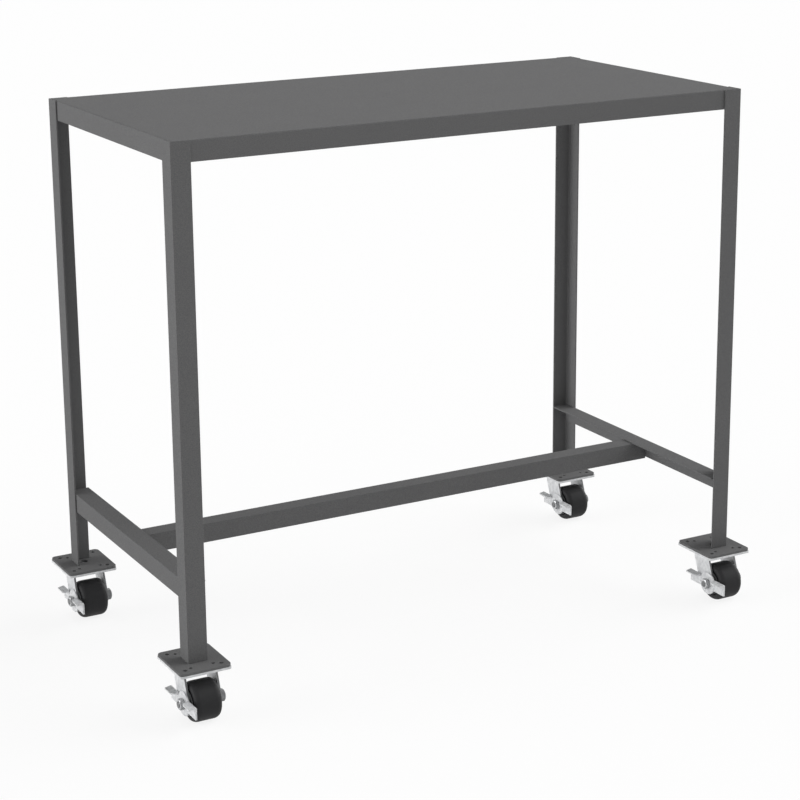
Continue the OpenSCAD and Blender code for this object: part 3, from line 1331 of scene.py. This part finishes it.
    def blade_outline(self, bend_z: float) -> list[Point]:
        """Gives the brake blade's outline about the axle: a disc between two arms with notches.

        Args:
            bend_z: The height of the arms' upper edges, where the pedals bend out.

        Returns:
            The outline's corners.
        """
        bottom = self.blade_top - self.blade_h
        notch_y = self.pedal_start - self.notch_r
        arm = [
            (self.lever_reach, bottom),
            (self.lever_reach, bend_z),
            (self.pedal_start, bend_z),
            *arc((notch_y, bend_z), self.notch_r, self.notch_turn, -180, self.notch_steps),
        ]
        disc_r, (top_steps, bottom_steps) = self.lever_disc_r, self.lever_disc_steps
        low_turn = math.degrees(math.asin(bottom / disc_r))
        high_turn = math.degrees(math.acos((notch_y - self.notch_r) / disc_r))
        disc_top = arc((0, 0), disc_r, high_turn, 180 - high_turn, top_steps)
        disc_bottom = arc((0, 0), disc_r, 180 - low_turn, 360 + low_turn, bottom_steps)
        # Each half holds the whole top of the disc, and the doubled corners are merged
        half = [*arm, *disc_top]
        return [*half, *[(-y, z) for y, z in reversed(half)], *disc_bottom]

    def lever(self) -> Object:
        """Stamps the brake lever and bends a pedal out of each end of its blade.

        Returns:
            The lever, with the rear pedal's top dressed.
        """
        bend_z = self.blade_top - self.pedal_bend_r - self.lever_t
        places = [(y - self.trail, z + self.axle_z) for y, z in self.blade_outline(bend_z)]
        blade = cut_out("lever", places, Plane.YZ, -self.lever_out, self.lever_t)
        droop = math.radians(self.pedal_droop)
        pivot_x = -self.lever_out - self.pedal_bend_r
        bend_out = (self.pedal_bend_r + self.lever_t) * math.sin(droop)
        length = (self.pedal_w - self.pedal_bend_r - bend_out) / math.cos(droop) * MM
        for side in (-1, 1):
            bend(
                blade,
                lambda centre, normal: normal.z > FACING
                and (centre.y + self.trail) * side > self.pedal_start,
                self.pedal_bend_steps,
                math.pi / 2 + droop,
                (pivot_x, 0, self.axle_z + bend_z),
                Vector((-math.cos(droop), 0, -math.sin(droop))) * length,
            )
        close_up(blade)
        for place, radius in (
            (self.pedal_start, self.pedal_r),
            (self.lever_reach, self.pedal_tip_r),
        ):
            round_edges(
                blade,
                radius,
                ROUND_STEPS,
                lambda a, b: max(a.x, b.x) < self.lever_t - self.lever_out - self.pedal_w
                and upright(a, b)
                and abs(abs(a.y + self.trail) - place) < LEVEL
                and abs(a.y - b.y) < LEVEL,
            )
        self.bore(blade, self.axle, self.axle_d, 3 * self.lever_out, Axis.X)
        # The rear pedal's top is painted darker: painted shade
        return dress(
            soften(blade, self.edge_r),
            self.zinc,
            self.painted_shade_zinc,
            lambda centre, normal: centre.x < pivot_x
            and centre.y > -self.trail
            and normal.z > TOWARDS,
        )


def tangent(point: Vector, centre: Vector, radius: float, side: int) -> tuple[Vector, float]:
    """Finds where a line from a point touches a circle.

    Args:
        point: The point outside the circle.
        centre: The circle's centre.
        radius: Its radius.
        side: -1 for the front tangent and 1 for the rear one.

    Returns:
        The touching point, and its angle about the centre in degrees.
    """
    offset = centre - point
    turn = math.atan2(offset.y, offset.x) + side * math.asin(radius / offset.length)
    run = math.sqrt(offset.length_squared - radius**2)
    touch = point + run * Vector((math.cos(turn), math.sin(turn)))
    spoke = touch - centre
    return touch, math.degrees(math.atan2(spoke.y, spoke.x))


# Stage


def hang(name: str, data: bpy.types.ID, turn: Quaternion) -> Object:
    """Puts a lamp or a camera into the scene.

    Args:
        name: Its name.
        data: Its lamp or camera data.
        turn: How it is turned from looking straight down.

    Returns:
        The new object.
    """
    obj = bpy.data.objects.new(name, data)
    bpy.context.scene.collection.objects.link(obj)
    obj.rotation_mode = "QUATERNION"
    obj.rotation_quaternion = turn
    return obj


@dataclass(frozen=True)
class Lamp:
    """A far, wide and soft lamp, as a studio light behind a diffuser."""

    name: str
    azimuth: float
    elevation: float
    strength: float
    spread: float

    def build(self) -> None:
        """Hangs the lamp: azimuth 0 is in front of the bench and 90 on its right."""
        data = bpy.data.lights.new(self.name, "SUN")
        data.energy = self.strength
        data.angle = math.radians(self.spread)
        a, e = math.radians(self.azimuth), math.radians(self.elevation)
        towards = Vector((math.sin(a) * math.cos(e), -math.cos(a) * math.cos(e), math.sin(e)))
        hang(self.name, data, towards.to_track_quat("Z", "Y"))


@dataclass(frozen=True)
class Studio:
    """The pale floor, the soft light and the camera at the photograph's viewing angle."""

    room_light: float = 0.4
    floor_colour: str = "e8e8e8"
    floor_glow: float = 0.85
    # In metres
    floor_half: float = 30.0
    lamps: tuple[Lamp, ...] = (
        Lamp("soft_left", -105, 8, 2.45, 50),
        Lamp("soft_right", 105, 8, 1.37, 50),
        Lamp("high_right", 75, 35, 1.73, 50),
    )

    def build(self) -> None:
        """Builds the whole stage."""
        self.floor()
        self.room()
        for lamp in self.lamps:
            lamp.build()
        Photographer().build()
        bpy.context.scene.view_settings.view_transform = "Standard"

    def seen(self, tree: NodeTree) -> NodeSocket:
        """Adds nodes that give 1 where the camera, a reflection or clear glass looks, and 0 elsewhere.

        Args:
            tree: The node tree that they go into.

        Returns:
            The socket that gives it.
        """
        path = add_node(tree, "ShaderNodeLightPath")
        largest = path.outputs["Is Camera Ray"]
        for name in ("Is Glossy Ray", "Is Transmission Ray"):
            pair = {0: largest, 1: path.outputs[name]}
            largest = add_node(tree, "ShaderNodeMath", {"operation": "MAXIMUM"}, pair).outputs[0]
        return largest

    def floor(self) -> None:
        """Lays the floor: plain and pale, and with a glow of its own where it is looked at."""
        nothing_selected()
        bpy.ops.mesh.primitive_plane_add(size=2 * self.floor_half)
        floor = start("studio_floor")
        material, tree = new_material("pale_floor")
        seen = self.seen(tree)
        colours = {"Factor": seen, "A": linear(self.floor_colour), "B": WHITE}
        colour = add_node(tree, "ShaderNodeMix", {"data_type": "RGBA"}, colours).outputs["Result"]
        plain = add_node(tree, "ShaderNodeBsdfDiffuse", inputs={"Color": colour})
        glow = add_node(tree, "ShaderNodeEmission", inputs={"Color": WHITE, "Strength": 1.0})
        factors = {0: seen, 1: self.floor_glow}
        share = add_node(tree, "ShaderNodeMath", {"operation": "MULTIPLY"}, factors)
        shader = add_node(
            tree,
            "ShaderNodeMixShader",
            inputs={0: share.outputs[0], 1: plain.outputs[0], 2: glow.outputs[0]},
        )
        add_node(tree, "ShaderNodeOutputMaterial", inputs={"Surface": shader.outputs[0]})
        floor.data.materials.append(material)

    def room(self) -> None:
        """Sets the room: white where it is looked at, dimmer as a light."""
        world = bpy.data.worlds.new("pale_room")
        bpy.context.scene.world = world
        world.use_nodes = True
        tree = world.node_tree
        tree.nodes.clear()
        levels = {"Value": self.seen(tree), "To Min": self.room_light, "To Max": 1.0}
        strength = add_node(tree, "ShaderNodeMapRange", inputs=levels).outputs["Result"]
        glow = {"Color": WHITE, "Strength": strength}
        light = add_node(tree, "ShaderNodeBackground", inputs=glow)
        add_node(tree, "ShaderNodeOutputWorld", inputs={"Surface": light.outputs[0]})


@dataclass(frozen=True)
class Photographer:
    """The camera. Its angles are degrees, its place is millimetres, and its frame 800 pixels square."""

    place: tuple[float, float, float] = (-1953.98, -3551.82, 1645.03)
    yaw: float = 28.75
    pitch: float = 14.32
    roll: float = -0.5
    focal_px: float = 2076.5
    frame_px: float = 800.0
    middle_px: Point = (400.0, 320.0)
    sensor_mm: float = 36.0
    # Nearest and farthest distance seen, in metres
    clip: Pair = (0.1, 100.0)

    def build(self) -> None:
        """Sets up the camera."""
        data = bpy.data.cameras.new("camera")
        data.sensor_width = self.sensor_mm
        data.lens = self.focal_px * self.sensor_mm / self.frame_px
        half = self.frame_px / 2
        data.shift_x = (half - self.middle_px[0]) / self.frame_px
        data.shift_y = (self.middle_px[1] - half) / self.frame_px
        data.clip_start, data.clip_end = self.clip
        aim = Euler((math.radians(90 - self.pitch), 0, math.radians(-self.yaw))).to_quaternion()
        camera = hang("camera", data, aim @ Quaternion((0, 0, 1), math.radians(self.roll)))
        camera.location = Vector(self.place) * MM
        bpy.context.scene.camera = camera


def main() -> None:
    """Builds the bench, its casters and the stage."""
    logging.basicConfig(level=logging.INFO, format="%(message)s")
    Bench(PowderCoat().build()).build()
    zinc = ZincPlate().build()
    bright = ZincPlate(
        name="turned_zinc", light="c9cacb", dark="b4b5b7", metallic=0.9, roughness=(0.2, 0.3)
    ).build()
    # Darker grey for the fork's sheared edges and the axle bolt: painted shade
    painted_shade_grey_steel = ZincPlate(name="grey_steel_in_painted_shade", light="7c7d7e", dark="6a6b6c").build()
    # A darker zinc for the nut's flats and the rear pedal's top: painted shade
    painted_shade_zinc = ZincPlate(name="zinc_in_painted_shade", light="b0b1b2", dark="989a9b").build()
    # Dark steel for the brake disc: painted shade between the fork and the wheel
    painted_shade_disc_steel = ZincPlate(name="dark_steel_in_painted_shade", light="4e4f50", dark="404142").build()
    Caster(zinc, bright, MouldedBlack().build(), painted_shade_grey_steel, painted_shade_zinc, painted_shade_disc_steel).build()
    Studio().build()


if __name__ == "__main__":
    main()
